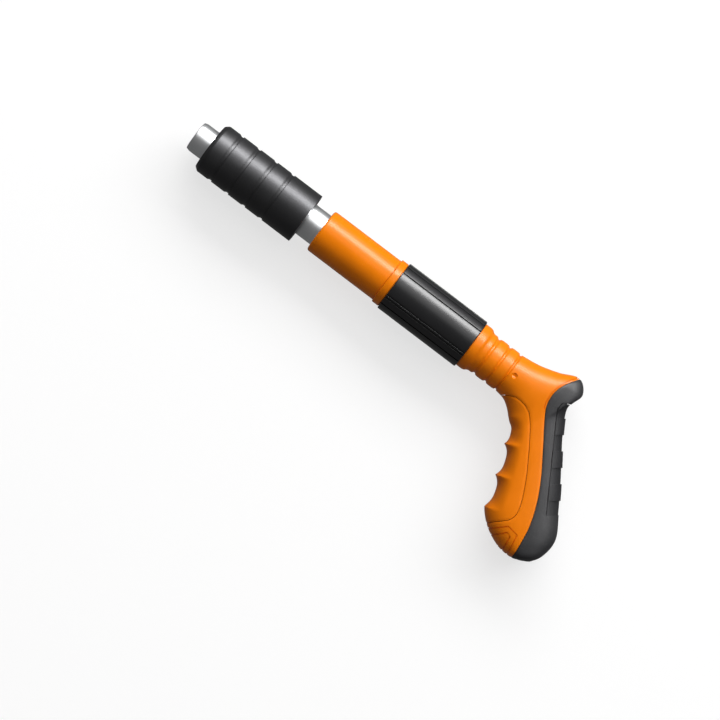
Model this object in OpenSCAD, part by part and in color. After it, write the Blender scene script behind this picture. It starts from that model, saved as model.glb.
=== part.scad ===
// Push-to-fire fastening tool with a muffled barrel and a pistol grip.
// It lies on its side: +X runs along the barrel from the muzzle to the handle,
// the grip points to -Y and +Z is the tool's thickness. The origin is at the
// middle of the footprint. Sizes are in millimetres.

/* [Nose and muffler] */
// Length of the nozzle in front of the muffler
nose_l = 13; // [10:0.5:20]
// Wall of the nozzle round the ring magnet
nose_wall = 2.2; // [1.8:0.1:3]
// Bore that takes the fastener
muzzle_d = 14; // [11:0.5:18]
// Depth of the fastener bore behind the magnet
muzzle_l = 34; // [26:1:42]
// Depth of the ring magnet's seat
magnet_l = 8; // [5:0.5:10]
// Length of the muffler
muffler_l = 83.6; // [72:0.5:101]
// Room for gas between the barrel and the muffler's wall
muffler_room = 4.8; // [4:0.1:6]
// Wall of the muffler sleeve
muffler_wall = 2.2; // [2:0.1:3]
// Length of the chamfer at the muffler's front
muffler_chamfer = 2.8; // [1:0.1:4]
// Distance from the muffler's front to the middle of its first groove
groove_start = 13.7; // [8:0.1:16]
// Distance between the muffler's grooves
groove_pitch = 14.8; // [12:0.1:16]
// Number of grooves in the muffler
groove_count = 4; // [1:1:4]
// Depth of the muffler's grooves
groove_depth = 0.8; // [0.3:0.1:1.2]

/* [Barrel and stroke] */
// Bore of the barrel tube behind the breech
barrel_bore_d = 16; // [13:0.5:20]
// How far the barrel tube stands proud of the nozzle
barrel_step = 1; // [0.5:0.1:2]
// How far the barrel slides into the body
press_stroke = 12; // [8:0.5:15]
// Gap left between the muffler and the body at full stroke
press_spare = 1.4; // [0.5:0.1:4]

/* [Body] */
// Length of the front sleeve
sleeve_l = 58; // [48:1:70]
// Wall of the front sleeve
sleeve_wall = 1.35; // [1:0.05:2]
// Length of the collar behind the front sleeve
collar_l = 6; // [4:0.5:10]
// How far the collar stands proud of the receiver
collar_step = 1; // [0.8:0.1:2]
// Length of the grip sleeve
grip_l = 68; // [62:0.5:82]
// Thickness of the grip sleeve
grip_wall = 2.25; // [1.8:0.05:3]
// Depth of the grip sleeve's lengthwise grooves
rib_depth = 0.8; // [0.4:0.1:1.2]
// Width of the grip sleeve's lengthwise grooves
rib_w = 1; // [0.6:0.1:1.6]
// Room for the return spring between the barrel and the receiver
spring_gap = 2.5; // [2.2:0.1:3.5]
// Wall of the receiver under the grip sleeve
receiver_wall = 2; // [1.5:0.1:3]

/* [Firing train] */
// Diameter of the striker
striker_d = 18.8; // [15:0.2:23]
// Length of the striker left behind the release ramp
striker_tail = 2; // [1:0.5:5]
// Diameter of the firing pin's long shaft
pin_d = 6; // [5:0.2:7.2]
// Diameter of the firing pin's tail, which pushes on the sear
tail_d = 4.6; // [4:0.1:5]
// How far the firing pin jumps forward when it is struck
pin_stroke = 1.5; // [1:0.1:1.8]
// Sideways travel of the sear for each millimetre of stroke
ramp_slope = 0.2; // [0.16:0.01:0.24]
// Wall of the spring tube
spring_tube_wall = 2.05; // [1.5:0.05:2.5]

/* [Handle] */
// Wall of the handle's neck round the spring tube
neck_wall = 4.1; // [4:0.1:6]
// How far the neck's front ring stands proud
neck_ring_step = 2.15; // [1:0.05:3]
// Reach of the handle behind its neck
handle_reach = 96.4; // [84:0.2:116]
// Depth of the butt below the barrel's axis
handle_drop = 102.2; // [88:0.2:123]
// Thickness of the handle at its thickest
handle_t = 39; // [36:0.5:40]
// Thickness of the rubber and finger skins
skin_t = 3; // [2:0.1:3.2]
// Wall of the handle shells under the skins
shell_wall = 2.5; // [2:0.1:3]
// Depth of the hollows between the finger ridges
scallop_depth = 3.6; // [1:0.1:5]

/* [Fits] */
// Radial clearance of pieces that slide in each other
running = 0.05; // [0.02:0.01:0.1]
// Gap between faces that meet only at the end of a travel
rest_gap = 0.05; // [0.02:0.01:0.1]

/* [Hidden] */
$fn = 96;
eps = 0.01;
through = 200;

// Colours
steel = "#c9ccd0";
dark_steel = "#5b5f66";
black = "#2c2c2e";
orange = "#ff8c0a";
bronze = "#b08d4f";
rubber = "#47484a";
polymer = "#8f3a2a";

// Stations along the axis, counted from the muzzle
muffler_x = nose_l;
muffler_end = muffler_x + muffler_l;
sleeve_x = muffler_end + press_stroke + press_spare;
collar_x = sleeve_x + sleeve_l;
grip_x = collar_x + collar_l;
neck_x = grip_x + grip_l;

// Nozzle and breech
breech_x = magnet_l + muzzle_l;
breech_t = 6;
nozzle_end = breech_x + 16;
spigot_d = max(muzzle_d + 4, barrel_bore_d + 2);
magnet_d = spigot_d + 0.6;
magnet_inset = 1;
nose_d = magnet_d + 2 * nose_wall;
barrel_d = nose_d + 2 * barrel_step;
barrel_r = barrel_d / 2;
muffler_d = barrel_d + 2 * (muffler_room + muffler_wall);
liner_r = barrel_r + muffler_room * 5 / 12;

// Body
bush_wall = 1.5;
spigot_wall = 1.35;
bush_r = barrel_r + running + bush_wall;
spigot_r = bush_r + spigot_wall;
sleeve_r = spigot_r + sleeve_wall;
receiver_bore_r = barrel_r + spring_gap;
receiver_r = max(receiver_bore_r + receiver_wall, spigot_r + 1);
shoulder_t = 3;
collar_r = receiver_r + collar_step;
grip_r = receiver_r + grip_wall;
stop_ring_t = 4;
stop_ring_x = grip_x + rest_gap;
wiper_t = 3;
sleeve_lip = 3;

// Firing train, placed forward from the handle's neck
flange_l = 12;
tube_x = neck_x - flange_l;
tube_lip = 3;
tube_lip_r = 5.2;
buffer_t = 3;
striker_x = tube_x + tube_lip + buffer_t + rest_gap;
striker_bore_r = striker_d / 2 + running;
spring_tube_r = striker_bore_r + spring_tube_wall;
nose_tube_r = 4.8;
striker_nose_l = 15;
nose_tip_x = striker_x - striker_nose_l;
flange_rear_x = nose_tip_x - press_stroke;
pin_flange_t = 4;
pin_flange_r = barrel_bore_d / 2 - 1;
retainer_t = 3.5;
barrel_end = flange_rear_x + rest_gap + retainer_t;
bumper_t = 3.8;
bumper_bore_r = pin_flange_r + 0.8;
sear_x = striker_x + 4;
sear_t = 6;
sear_w = 7;
sear_shift = ramp_slope * press_stroke;
sear_top = striker_d / 2 - 1;
sear_bottom = 4 - striker_d / 2;
sear_hole_r = tail_d / 2 + 0.4;
sear_spring_hole_r = 1.3;
sear_spring_top = sear_bottom + 2.5;
sear_pocket_y = sear_bottom - sear_shift - 0.4;
ramp_l = sear_t + press_stroke + 2;
ramp_w = 6.4;
striker_l = sear_x - striker_x + ramp_l + striker_tail;
striker_end = striker_x + striker_l;
spring_room = 24;
spring_tube_end = striker_end + press_stroke + spring_room + 8;
guide_disc_t = 2;
plug_t = 6;
lock_flange_x = neck_x + 4;
lock_flange_t = 4;
lock_flange_r = spring_tube_r + 2.5;

// Return spring and rear guide
rear_guide_t = 6;
rear_guide_x = barrel_end - 9;
pin_shaft_x = breech_x + breech_t + pin_stroke + 0.5;
pin_tip_x = breech_x + 0.6;
pin_tip_r = 1.2;
pin_flange_x = flange_rear_x - pin_flange_t;
guide_t = 6;
front_guide_x = nozzle_end + 4;
rear_pin_guide_x = pin_flange_x - 19;

// Neck of the handle: distance behind the grip sleeve and radius
neck_groove = 1.3;
neck_r = spring_tube_r + neck_wall;
neck_ring_r = neck_r + neck_ring_step;
neck_profile = [
    [0, neck_ring_r - 0.4], [0.4, neck_ring_r], [6, neck_ring_r],
    [8.6, neck_r], [12, neck_r], [13.2, neck_r - neck_groove],
    [14.2, neck_r - neck_groove], [15.4, neck_r], [21.8, neck_r],
    [22.8, neck_r - neck_groove], [23.8, neck_r - neck_groove], [24.8, neck_r],
    [31, neck_r], [31.9, neck_r - neck_groove], [32.7, neck_r - neck_groove],
    [33.6, neck_r]
];
neck_l = 34;
handle_x = neck_x + neck_l;

// Ribs of the handle: front x, front y, rear x, rear y and half thickness as
// shares of the reach, the drop and the thickness, with the neck's end as zero.
// Scallops of the front edge are added between the ridges by a formula.
ribs = [
    [0.083, -0.168, 0.135, 0.168, 0.400],
    [0.168, -0.230, 0.280, 0.208, 0.405],
    [0.199, -0.288, 0.425, 0.262, 0.395],
    [0.232, -0.346, 0.516, 0.180, 0.390],
    [0.272, -0.404, 0.486, 0.052, 0.400],
    [0.316, -0.498, 0.577, -0.112, 0.430],
    [0.358, -0.610, 0.684, -0.258, 0.450],
    [0.396, -0.718, 0.790, -0.404, 0.470],
    [0.434, -0.828, 0.900, -0.565, 0.490],
    [0.540, -0.932, 0.985, -0.690, 0.500],
    [0.680, -0.990, 1.000, -0.770, 0.485],
    [0.800, -1.000, 0.975, -0.880, 0.430],
    [0.870, -0.990, 0.915, -0.950, 0.200]
];
// Rib numbers at which the scallops begin and end
scallops = [[2, 5], [5, 7], [7, 9]];
rib_steps = 2;
rib_sides = 20;
roundness = 2.4;

top_y = handle_drop * 0.262;
bottom_y = -handle_drop;
length_x = handle_x + handle_reach;
axis_z = max(muffler_d / 2, grip_r, handle_t / 2, collar_r, neck_ring_r);

// Line of the palm pad: its upper end, its lower end and its blocks
pad_blocks = 6;
pad_from = [handle_x + 0.508 * handle_reach, -0.024 * handle_drop];
pad_to = [handle_x + 0.909 * handle_reach, -0.580 * handle_drop];
pad_dir = pad_to - pad_from;
pad_l = norm(pad_dir);
pad_turn = atan2(pad_dir[1], pad_dir[0]);
pad_w = 15;
pad_t = 2;
pad_high = 0.5;
pad_low = -0.4;

// Outlines that part the handle's skins, as shares of reach and drop
strap_line = [
    [0.425, 0.290], [0.352, 0.107], [0.346, -0.022], [0.383, -0.094],
    [0.479, -0.224], [0.632, -0.440], [0.713, -0.588], [0.770, -0.736],
    [0.796, -0.866], [0.817, -1.050]
];
finger_line = [
    [0.060, -0.140], [0.138, -0.108], [0.225, -0.115], [0.298, -0.155],
    [0.400, -0.282], [0.552, -0.514], [0.634, -0.686], [0.636, -0.786],
    [0.547, -0.880], [0.460, -0.990]
];

// Screws that close the shells, from the -Z side
screw_spots = [[0.415, -0.215], [0.596, -0.490], [0.711, -0.783]];
screw_shank_r = 1.5;
screw_head_r = 3;
screw_head_t = 2.4;
screw_seat_z = -handle_t * 7 / 26;
screw_tip_z = handle_t * 3 / 13;
boss_r = 4.4;

// Moves the tool from its own axis to the row frame
module placed() {
    translate([-length_x / 2, -(top_y + bottom_y) / 2, axis_z]) children();
}

// Solid of revolution about the barrel's axis, from points of [x, radius]
module turned(points) {
    rotate([0, 90, 0]) rotate_extrude() polygon([for (p = points) [p[1], p[0]]]);
}

// Tube or ring along the axis
module ring(x, length, outer_r, inner_r) {
    turned([[x, inner_r], [x + length, inner_r], [x + length, outer_r], [x, outer_r]]);
}

// Rod along the axis
module rod(x, length, radius) {
    translate([x, 0, 0]) rotate([0, 90, 0]) cylinder(h = length, r = radius);
}

// Round wire wound along X between two stations
module coil(from_x, to_x, mean_r, wire_r, turns, steps = 12, sides = 6) {
    count = turns * steps;
    rise = (to_x - from_x - 2 * wire_r) / count;
    points = [for (i = [0:count]) for (j = [0:sides - 1])
        let (turn = 360 * i / steps, side = 360 * j / sides,
             r = mean_r + wire_r * cos(side))
        [from_x + wire_r + rise * i + wire_r * sin(side), r * cos(turn), r * sin(turn)]];
    skin = [for (i = [0:count - 1]) for (j = [0:sides - 1])
        let (k = (j + 1) % sides, a = i * sides, b = a + sides)
        each [[a + j, b + j, b + k], [a + j, b + k, a + k]]];
    start_cap = [[for (j = [0:sides - 1]) j]];
    end_cap = [[for (j = [sides - 1:-1:0]) count * sides + j]];
    polyhedron(points, concat(skin, start_cap, end_cap));
}

// Smooth value between four neighbouring values
function smooth(a, b, c, d, t) =
    b + t * (c - a) / 2 + t * t * (a - 2.5 * b + 2 * c - d / 2)
    + t * t * t * (1.5 * (b - c) + (d - a) / 2);

// Rib i of the handle in millimetres; rib 0 is just inside the neck's round end
function rib(i) = i <= 0
    ? [handle_x - 0.4, 0.25 - neck_r, handle_x - 0.4, neck_r - 0.25, neck_r - 0.25]
    : let (s = ribs[min(i, len(ribs)) - 1])
      [handle_x + s[0] * handle_reach, s[1] * handle_drop,
       handle_x + s[2] * handle_reach, s[3] * handle_drop, s[4] * handle_t];

// Depth of the scallop at a place along the ribs
function scallop(place) = let (depths = [for (s = scallops)
    if (place > s[0] && place < s[1])
        let (u = (place - s[0]) / (s[1] - s[0])) 4 * u * (1 - u) * scallop_depth])
    len(depths) > 0 ? depths[0] : 0;

// Rib at any place between the listed ones, with its scallop
function rib_at(place) = let (
    i = min(floor(place), len(ribs) - 1), t = place - i,
    r = [for (k = [0:4]) smooth(rib(i - 1)[k], rib(i)[k], rib(i + 1)[k], rib(i + 2)[k], t)],
    front = [r[0], r[1]], rear = [r[2], r[3]],
    across = (rear - front) / norm(rear - front),
    bottom = front + across * scallop(place))
    [bottom, rear, r[4]];

// Ring of points round one rib, drawn in by a wall
function rib_ring(place, wall, half) = let (
    r = rib_at(place), centre = (r[0] + r[1]) / 2,
    arm = (r[1] - r[0]) / 2, reach = max(norm(arm) - wall, 0.5),
    thick = max(r[2] - wall, 0.5), along = arm / norm(arm),
    power = 2 / (2 + (roundness - 2) * min(place, 4) / 4))
    [for (j = [0:(half ? rib_sides / 2 : rib_sides - 1)])
        let (a = 360 * j / rib_sides, c = cos(a), s = sin(a),
             u = sign(c) * pow(abs(c), power) * reach,
             v = sign(s) * pow(abs(s), power) * thick)
        [centre[0] + along[0] * u, centre[1] + along[1] * u, half ? abs(v) : v]];

// Form of the handle behind its neck, drawn in by a wall. A half form is the
// +Z half with a flat face on the middle plane.
module handle_form(wall = 0, half = false) {
    last = len(ribs) * rib_steps;
    // An inner form stops short of the butt by about its wall
    stop = last - (wall > 0 ? round(rib_steps * (wall > skin_t ? 3 : 2)) : 0);
    rings = [for (k = [0:stop]) rib_ring(k / rib_steps, wall, half)];
    n = len(rings[0]);
    points = [for (r = rings) each r];
    skin = [for (i = [0:stop - 1]) for (j = [0:n - 1])
        let (k = (j + 1) % n, a = i * n, b = a + n)
        if (!half || j < n - 1) each [[a + j, b + j, b + k], [a + j, b + k, a + k]]];
    flat = half ? [for (i = [0:stop - 1]) let (a = i * n, b = a + n)
        [a + n - 1, b + n - 1, b, a]] : [];
    start_cap = [[for (j = [0:n - 1]) j]];
    end_cap = [[for (j = [n - 1:-1:0]) stop * n + j]];
    polyhedron(points, concat(skin, flat, start_cap, end_cap), convexity = 6);
}

// Prism through the handle's thickness over an outline of shares
module handle_prism(outline) {
    translate([handle_x, 0, -through / 2]) linear_extrude(through)
        polygon([for (p = outline) [p[0] * handle_reach, p[1] * handle_drop]]);
}

// Everything behind the line between the shells and the rubber
module strap_region() {
    handle_prism(concat(strap_line, [[1.4, -1.05], [1.4, 0.4], [0.425, 0.4]]));
}

// Everything in front of the finger grip's seam
module finger_region() {
    handle_prism(concat(finger_line, [[0, -0.99], [0, -0.14]]));
}

// ---- Barrel assembly ----

module nozzle() {
    bore_r = muzzle_d / 2;
    color(steel) placed() difference() {
        turned([
            [0, nose_d / 2 - 1], [0.8, nose_d / 2 - 0.4], [2.8, nose_d / 2],
            [nozzle_end, nose_d / 2], [nozzle_end, spigot_d / 2],
            [breech_x, spigot_d / 2], [breech_x, bore_r],
            [magnet_l, bore_r], [magnet_l, magnet_d / 2], [0, magnet_d / 2]
        ]);
        // Ports that vent the gas into the muffler
        for (x = [muffler_x + 10, muffler_x + 17, muffler_x + 24], turn = [0:90:270])
            rotate([turn, 0, 0]) translate([x, 0, 0]) cylinder(h = nose_d, r = 1.5);
    }
}

module nozzle_magnet() {
    color(dark_steel) placed()
        ring(magnet_inset, magnet_l - magnet_inset, magnet_d / 2, muzzle_d / 2 + 0.6);
}

module breech_disc() {
    color(dark_steel) placed() ring(breech_x, breech_t, spigot_d / 2, pin_tip_r + running);
}

module barrel_tube() {
    spigot_x = breech_x + breech_t;
    color(steel) placed() turned([
        [spigot_x, barrel_bore_d / 2], [barrel_end, barrel_bore_d / 2],
        [barrel_end, barrel_r - 0.6], [barrel_end - 0.6, barrel_r],
        [nozzle_end, barrel_r], [nozzle_end, spigot_d / 2], [spigot_x, spigot_d / 2]
    ]);
}

module muffler_front_cap() {
    outer_r = muffler_d / 2;
    inner_r = outer_r - muffler_wall;
    front_r = outer_r - 2.2;
    color(black) placed() turned([
        [muffler_x, nose_d / 2], [muffler_x + 8, nose_d / 2], [muffler_x + 8, inner_r],
        [muffler_x + muffler_chamfer, inner_r],
        [muffler_x + muffler_chamfer, outer_r], [muffler_x, front_r]
    ]);
}

module muffler_sleeve() {
    outer_r = muffler_d / 2;
    color(black) placed() difference() {
        ring(muffler_x + muffler_chamfer, muffler_l - muffler_chamfer,
             outer_r, outer_r - muffler_wall);
        for (i = [0:groove_count - 1])
            translate([muffler_x + groove_start + i * groove_pitch, 0, 0])
                turned([[-1.8, outer_r + eps], [-0.5, outer_r - groove_depth],
                        [0.9, outer_r - groove_depth], [1.5, outer_r + eps]]);
    }
}

module muffler_liner() {
    liner_x = muffler_x + 8;
    liner_l = muffler_l - 16;
    color(steel) placed() difference() {
        ring(liner_x, liner_l, liner_r, liner_r - 0.8);
        for (i = [0:3], turn = [30:60:330])
            rotate([turn, 0, 0]) translate([liner_x + liner_l * (i + 0.5) / 4, 0, 0])
                cylinder(h = liner_r + 1, r = 1.6);
    }
}

module muffler_baffles() {
    liner_l = muffler_l - 16;
    color(steel) placed() for (i = [1:3])
        ring(muffler_x + 8 + liner_l * i / 4 - 0.75, 1.5,
             muffler_d / 2 - muffler_wall, liner_r);
}

module muffler_rear_nut() {
    color(black) placed() turned([
        [muffler_end - 8, barrel_r], [muffler_end - 0.4, barrel_r],
        [muffler_end - 0.4, muffler_d / 2 - muffler_wall],
        [muffler_end - 3, muffler_d / 2 - muffler_wall],
        [muffler_end - 3, muffler_d / 2 - muffler_wall - 1.8],
        [muffler_end - 4.8, muffler_d / 2 - muffler_wall - 1.8],
        [muffler_end - 4.8, muffler_d / 2 - muffler_wall],
        [muffler_end - 8, muffler_d / 2 - muffler_wall]
    ]);
}

module muffler_o_rings() {
    seal_r = muffler_d / 2 - muffler_wall - 0.9;
    color(rubber) placed() {
        translate([muffler_end - 3.9, 0, 0]) rotate([0, 90, 0])
            rotate_extrude() translate([seal_r, 0]) circle(r = 0.88, $fn = 24);
        translate([muffler_x + 8.9, 0, 0]) rotate([0, 90, 0])
            rotate_extrude() translate([seal_r, 0]) circle(r = 0.88, $fn = 24);
    }
}

module barrel_stop_ring() {
    color(dark_steel) placed()
        ring(stop_ring_x, stop_ring_t, receiver_bore_r - running * 2, barrel_r);
}

module pin_guides() {
    color(bronze) placed() for (x = [front_guide_x, rear_pin_guide_x])
        ring(x, guide_t, barrel_bore_d / 2, pin_d / 2 + running);
}

module pin_retainer() {
    color(dark_steel) placed()
        ring(flange_rear_x + rest_gap, retainer_t, barrel_bore_d / 2, tube_lip_r);
}

module pin_return_spring() {
    color(steel) placed() coil(rear_pin_guide_x + guide_t, pin_flange_x,
                               pin_d / 2 + 1.6, 0.5, 5, 12, 6);
}

// ---- Firing train ----

module firing_pin() {
    color(steel) placed() turned([
        [pin_tip_x, 0], [pin_tip_x, pin_tip_r - 0.4], [pin_tip_x + 0.4, pin_tip_r],
        [pin_shaft_x, pin_tip_r], [pin_shaft_x + 2, pin_d / 2],
        [pin_flange_x, pin_d / 2], [pin_flange_x, pin_flange_r],
        [flange_rear_x, pin_flange_r], [flange_rear_x, tail_d / 2],
        [sear_x - rest_gap, tail_d / 2], [sear_x - rest_gap, 0]
    ]);
}

module striker() {
    bore_r = tail_d / 2 + 0.4;
    color(dark_steel) placed() difference() {
        turned([
            [nose_tip_x, bore_r], [nose_tip_x, nose_tube_r], [striker_x, nose_tube_r],
            [striker_x, striker_d / 2], [striker_end, striker_d / 2],
            [striker_end, 0], [sear_x + press_stroke + 6, 0],
            [sear_x + press_stroke + 6, bore_r]
        ]);
        // Channel that passes the release ramp
        translate([striker_x - eps, sear_top - sear_shift - 2, -ramp_w / 2 - 0.4])
            cube([striker_l + 2 * eps, striker_d, ramp_w + 0.8]);
        // Slot that the sear slides in
        translate([sear_x - rest_gap, sear_pocket_y, -sear_w / 2 - running])
            cube([sear_t + 2 * rest_gap, striker_d, sear_w + 2 * running]);
    }
}

module sear() {
    color(steel) placed() difference() {
        translate([0, 0, -sear_w / 2]) linear_extrude(sear_w) polygon([
            [sear_x, sear_bottom], [sear_x + sear_t, sear_bottom],
            [sear_x + sear_t, sear_top - ramp_slope * sear_t], [sear_x, sear_top]
        ]);
        // Hole that the pin's tail drops into once the sear has moved over
        translate([sear_x - eps, sear_shift, 0]) rotate([0, 90, 0])
            cylinder(h = sear_t + 2 * eps, r = sear_hole_r);
        // Blind seat of the sear's own spring
        translate([sear_x + sear_t / 2, sear_bottom - eps, 0]) rotate([-90, 0, 0])
            cylinder(h = sear_spring_top - sear_bottom + eps, r = sear_spring_hole_r);
    }
}

module sear_spring() {
    color(steel) placed() translate([sear_x + sear_t / 2, 0, 0]) rotate([0, 0, 90])
        coil(sear_pocket_y, sear_spring_top, 0.85, 0.22, 5, 10, 6);
}

module release_ramp() {
    low_y = sear_top + rest_gap - ramp_slope * ramp_l;
    color(dark_steel) placed() intersection() {
        translate([0, 0, -ramp_w / 2]) linear_extrude(ramp_w) polygon([
            [sear_x, sear_top + rest_gap], [sear_x + ramp_l, low_y],
            [sear_x + ramp_l, striker_d], [sear_x, striker_d]
        ]);
        rod(sear_x - 1, ramp_l + 2, striker_bore_r);
    }
}

module main_spring() {
    color(steel) placed() coil(striker_end, spring_tube_end - plug_t - guide_disc_t,
                               striker_d / 2 - 2.4, 0.9, 8, 12, 6);
}

module spring_guide() {
    rod_r = striker_d / 2 - 5;
    disc_x = spring_tube_end - plug_t - guide_disc_t;
    tip_x = striker_end + press_stroke + 4;
    color(dark_steel) placed() turned([
        [tip_x, 0], [tip_x, rod_r - 1], [tip_x + 1, rod_r], [disc_x, rod_r],
        [disc_x, striker_bore_r], [disc_x + guide_disc_t, striker_bore_r],
        [disc_x + guide_disc_t, 0]
    ]);
}

module rear_plug() {
    plug_x = spring_tube_end - plug_t;
    color(steel) placed() difference() {
        rod(plug_x, plug_t, striker_bore_r);
        // Hexagon socket for the key
        translate([plug_x + plug_t - 3, 0, 0]) rotate([0, 90, 0])
            cylinder(h = 4, r = 4, $fn = 6);
    }
}

// ---- Body ----

module front_sleeve() {
    lip_r = barrel_r + 0.5;
    color(orange) placed() turned([
        [sleeve_x, lip_r], [sleeve_x, sleeve_r - 1.6],
        [sleeve_x + 0.5, sleeve_r - 0.5], [sleeve_x + 1.6, sleeve_r],
        [collar_x, sleeve_r], [collar_x, spigot_r],
        [sleeve_x + sleeve_lip, spigot_r], [sleeve_x + sleeve_lip, lip_r]
    ]);
}

module wiper_ring() {
    color(rubber) placed()
        ring(sleeve_x + sleeve_lip, wiper_t, spigot_r, barrel_r + running);
}

module front_bush() {
    bush_x = sleeve_x + sleeve_lip + wiper_t;
    color(bronze) placed() ring(bush_x, grip_x - bush_x, bush_r, barrel_r + running);
}

module collar() {
    color(orange) placed() turned([
        [collar_x, spigot_r], [collar_x, collar_r - 0.5], [collar_x + 0.5, collar_r],
        [grip_x - 0.5, collar_r], [grip_x, collar_r - 0.5], [grip_x, receiver_r],
        [grip_x - shoulder_t, receiver_r], [grip_x - shoulder_t, spigot_r]
    ]);
}

module receiver_tube() {
    spigot_x = sleeve_x + sleeve_lip + wiper_t;
    color(dark_steel) placed() turned([
        [spigot_x, bush_r], [spigot_x, spigot_r],
        [grip_x - shoulder_t, spigot_r], [grip_x - shoulder_t, receiver_r],
        [neck_x, receiver_r], [neck_x, receiver_bore_r],
        [grip_x, receiver_bore_r], [grip_x, bush_r]
    ]);
}

module grip_sleeve() {
    color(black) placed() difference() {
        ring(grip_x, grip_l, grip_r, receiver_r);
        // Lengthwise grooves, in degrees from the middle of each broad side
        // towards the grip; the two sides mirror each other
        for (side = [0, 1], turn = [-78, -56, -35, 25, 32, 52])
            mirror([0, 0, side]) rotate([turn, 0, 0])
                translate([grip_x - eps, -rib_w / 2, grip_r - rib_depth])
                    cube([grip_l + 2 * eps, rib_w, 2 * rib_depth]);
    }
}

module return_spring() {
    front_x = stop_ring_x + stop_ring_t;
    mean_r = (barrel_r + receiver_bore_r) / 2;
    color(steel) placed() coil(front_x, rear_guide_x, mean_r, 0.75, 5, 16, 6);
}

module rear_guide() {
    color(bronze) placed()
        ring(rear_guide_x, rear_guide_t, receiver_bore_r, barrel_r + running);
}

module barrel_bumper() {
    color(polymer) placed() ring(tube_x - bumper_t, bumper_t, receiver_bore_r, bumper_bore_r);
}

module spring_tube() {
    bore_r = striker_bore_r;
    color(dark_steel) placed() turned([
        [tube_x, tube_lip_r], [tube_x, receiver_bore_r], [neck_x, receiver_bore_r],
        [neck_x, spring_tube_r], [lock_flange_x, spring_tube_r],
        [lock_flange_x, lock_flange_r], [lock_flange_x + lock_flange_t, lock_flange_r],
        [lock_flange_x + lock_flange_t, spring_tube_r],
        [spring_tube_end, spring_tube_r], [spring_tube_end, bore_r],
        [tube_x + tube_lip, bore_r], [tube_x + tube_lip, tube_lip_r]
    ]);
}

module striker_buffer() {
    color(polymer) placed() ring(tube_x + tube_lip, buffer_t, striker_bore_r, tube_lip_r);
}

// ---- Handle ----

// Room that the spring tube and its locking flange take in the shells
module tube_room() {
    rod(neck_x - 1, spring_tube_end - neck_x + 1.2, spring_tube_r);
    rod(lock_flange_x, lock_flange_t, lock_flange_r);
}

// Ringed neck as a half turn; side is 1 for +Z and -1 for -Z
module half_neck(side) {
    rotate([0, 90, 0]) rotate([0, 0, 90 * side]) rotate_extrude(angle = 180)
        polygon(concat([for (p = neck_profile) [p[1], neck_x + p[0]]],
                       [[neck_r, handle_x], [0, handle_x], [0, neck_x]]));
}

// Half handle without its skins; side is 1 for +Z and -1 for -Z
module half_shell(side) {
    mirror_z = side > 0 ? [0, 0, 0] : [0, 0, 1];
    difference() {
        union() {
            half_neck(side);
            difference() {
                mirror(mirror_z) handle_form(0, true);
                difference() {
                    union() {
                        strap_region();
                        finger_region();
                    }
                    handle_form(skin_t);
                }
                difference() {
                    handle_form(skin_t + shell_wall);
                    for (s = screw_spots) screw_at(s) cylinder(h = through, r = boss_r,
                                                               center = true);
                }
            }
        }
        tube_room();
        for (s = screw_spots) screw_at(s) {
            translate([0, 0, screw_seat_z]) cylinder(h = screw_tip_z - screw_seat_z + 1,
                                                     r = screw_shank_r);
            if (side < 0) translate([0, 0, -through / 2])
                cylinder(h = through / 2 + screw_seat_z, r = screw_head_r + 0.3);
        }
    }
}

module screw_at(spot) {
    translate([handle_x + spot[0] * handle_reach, spot[1] * handle_drop, 0]) children();
}

module handle_shell_left() {
    color(orange) placed() half_shell(1);
}

module handle_shell_right() {
    color(orange) placed() half_shell(-1);
}

module finger_grip() {
    color(orange) placed() intersection() {
        finger_region();
        difference() {
            handle_form();
            handle_form(skin_t);
            tube_room();
        }
    }
}

// Block on the palm pad's line, from its depth up to a height over the line
module pad_block(from, length, depth, height) {
    translate([pad_from[0], pad_from[1], -pad_w / 2]) rotate([0, 0, pad_turn])
        translate([from, -depth, 0]) cube([length, depth + height, pad_w]);
}

module backstrap() {
    color(rubber) placed() difference() {
        intersection() {
            strap_region();
            difference() {
                handle_form();
                handle_form(skin_t);
                tube_room();
            }
        }
        pad_block(0, pad_l, pad_t, 5);
    }
}

module palm_pad() {
    pitch = pad_l / pad_blocks;
    color(black) placed() difference() {
        union() {
            pad_block(0, pad_l, pad_t, pad_low);
            for (i = [0:2:pad_blocks - 1]) pad_block(i * pitch, pitch, pad_t, pad_high);
        }
        handle_form(skin_t);
    }
}

module handle_screws() {
    color(dark_steel) placed() for (s = screw_spots) screw_at(s) {
        translate([0, 0, screw_seat_z])
            cylinder(h = screw_tip_z - screw_seat_z, r = screw_shank_r);
        difference() {
            translate([0, 0, screw_seat_z - screw_head_t])
                cylinder(h = screw_head_t, r = screw_head_r);
            translate([0, 0, screw_seat_z - screw_head_t - 1])
                cylinder(h = 2.4, r = 1.5, $fn = 6);
        }
    }
}

nozzle();
nozzle_magnet();
breech_disc();
barrel_tube();
muffler_front_cap();
muffler_sleeve();
muffler_liner();
muffler_baffles();
muffler_rear_nut();
muffler_o_rings();
barrel_stop_ring();
pin_guides();
pin_retainer();
pin_return_spring();
firing_pin();
striker();
sear();
sear_spring();
front_sleeve();
wiper_ring();
front_bush();
collar();
receiver_tube();
grip_sleeve();
return_spring();
rear_guide();
barrel_bumper();
spring_tube();
striker_buffer();
release_ramp();
main_spring();
spring_guide();
rear_plug();
handle_shell_left();
handle_shell_right();
finger_grip();
backstrap();
palm_pad();
handle_screws();
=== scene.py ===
"""Looks of a push-to-fire fastening tool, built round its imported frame.

Lengths in the tables are millimetres on the tool's own axes: x runs back from
the muzzle, y up from the barrel's axis and z out of the tool's left side.
place() turns them into the frame's metres.
"""

import math

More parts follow.
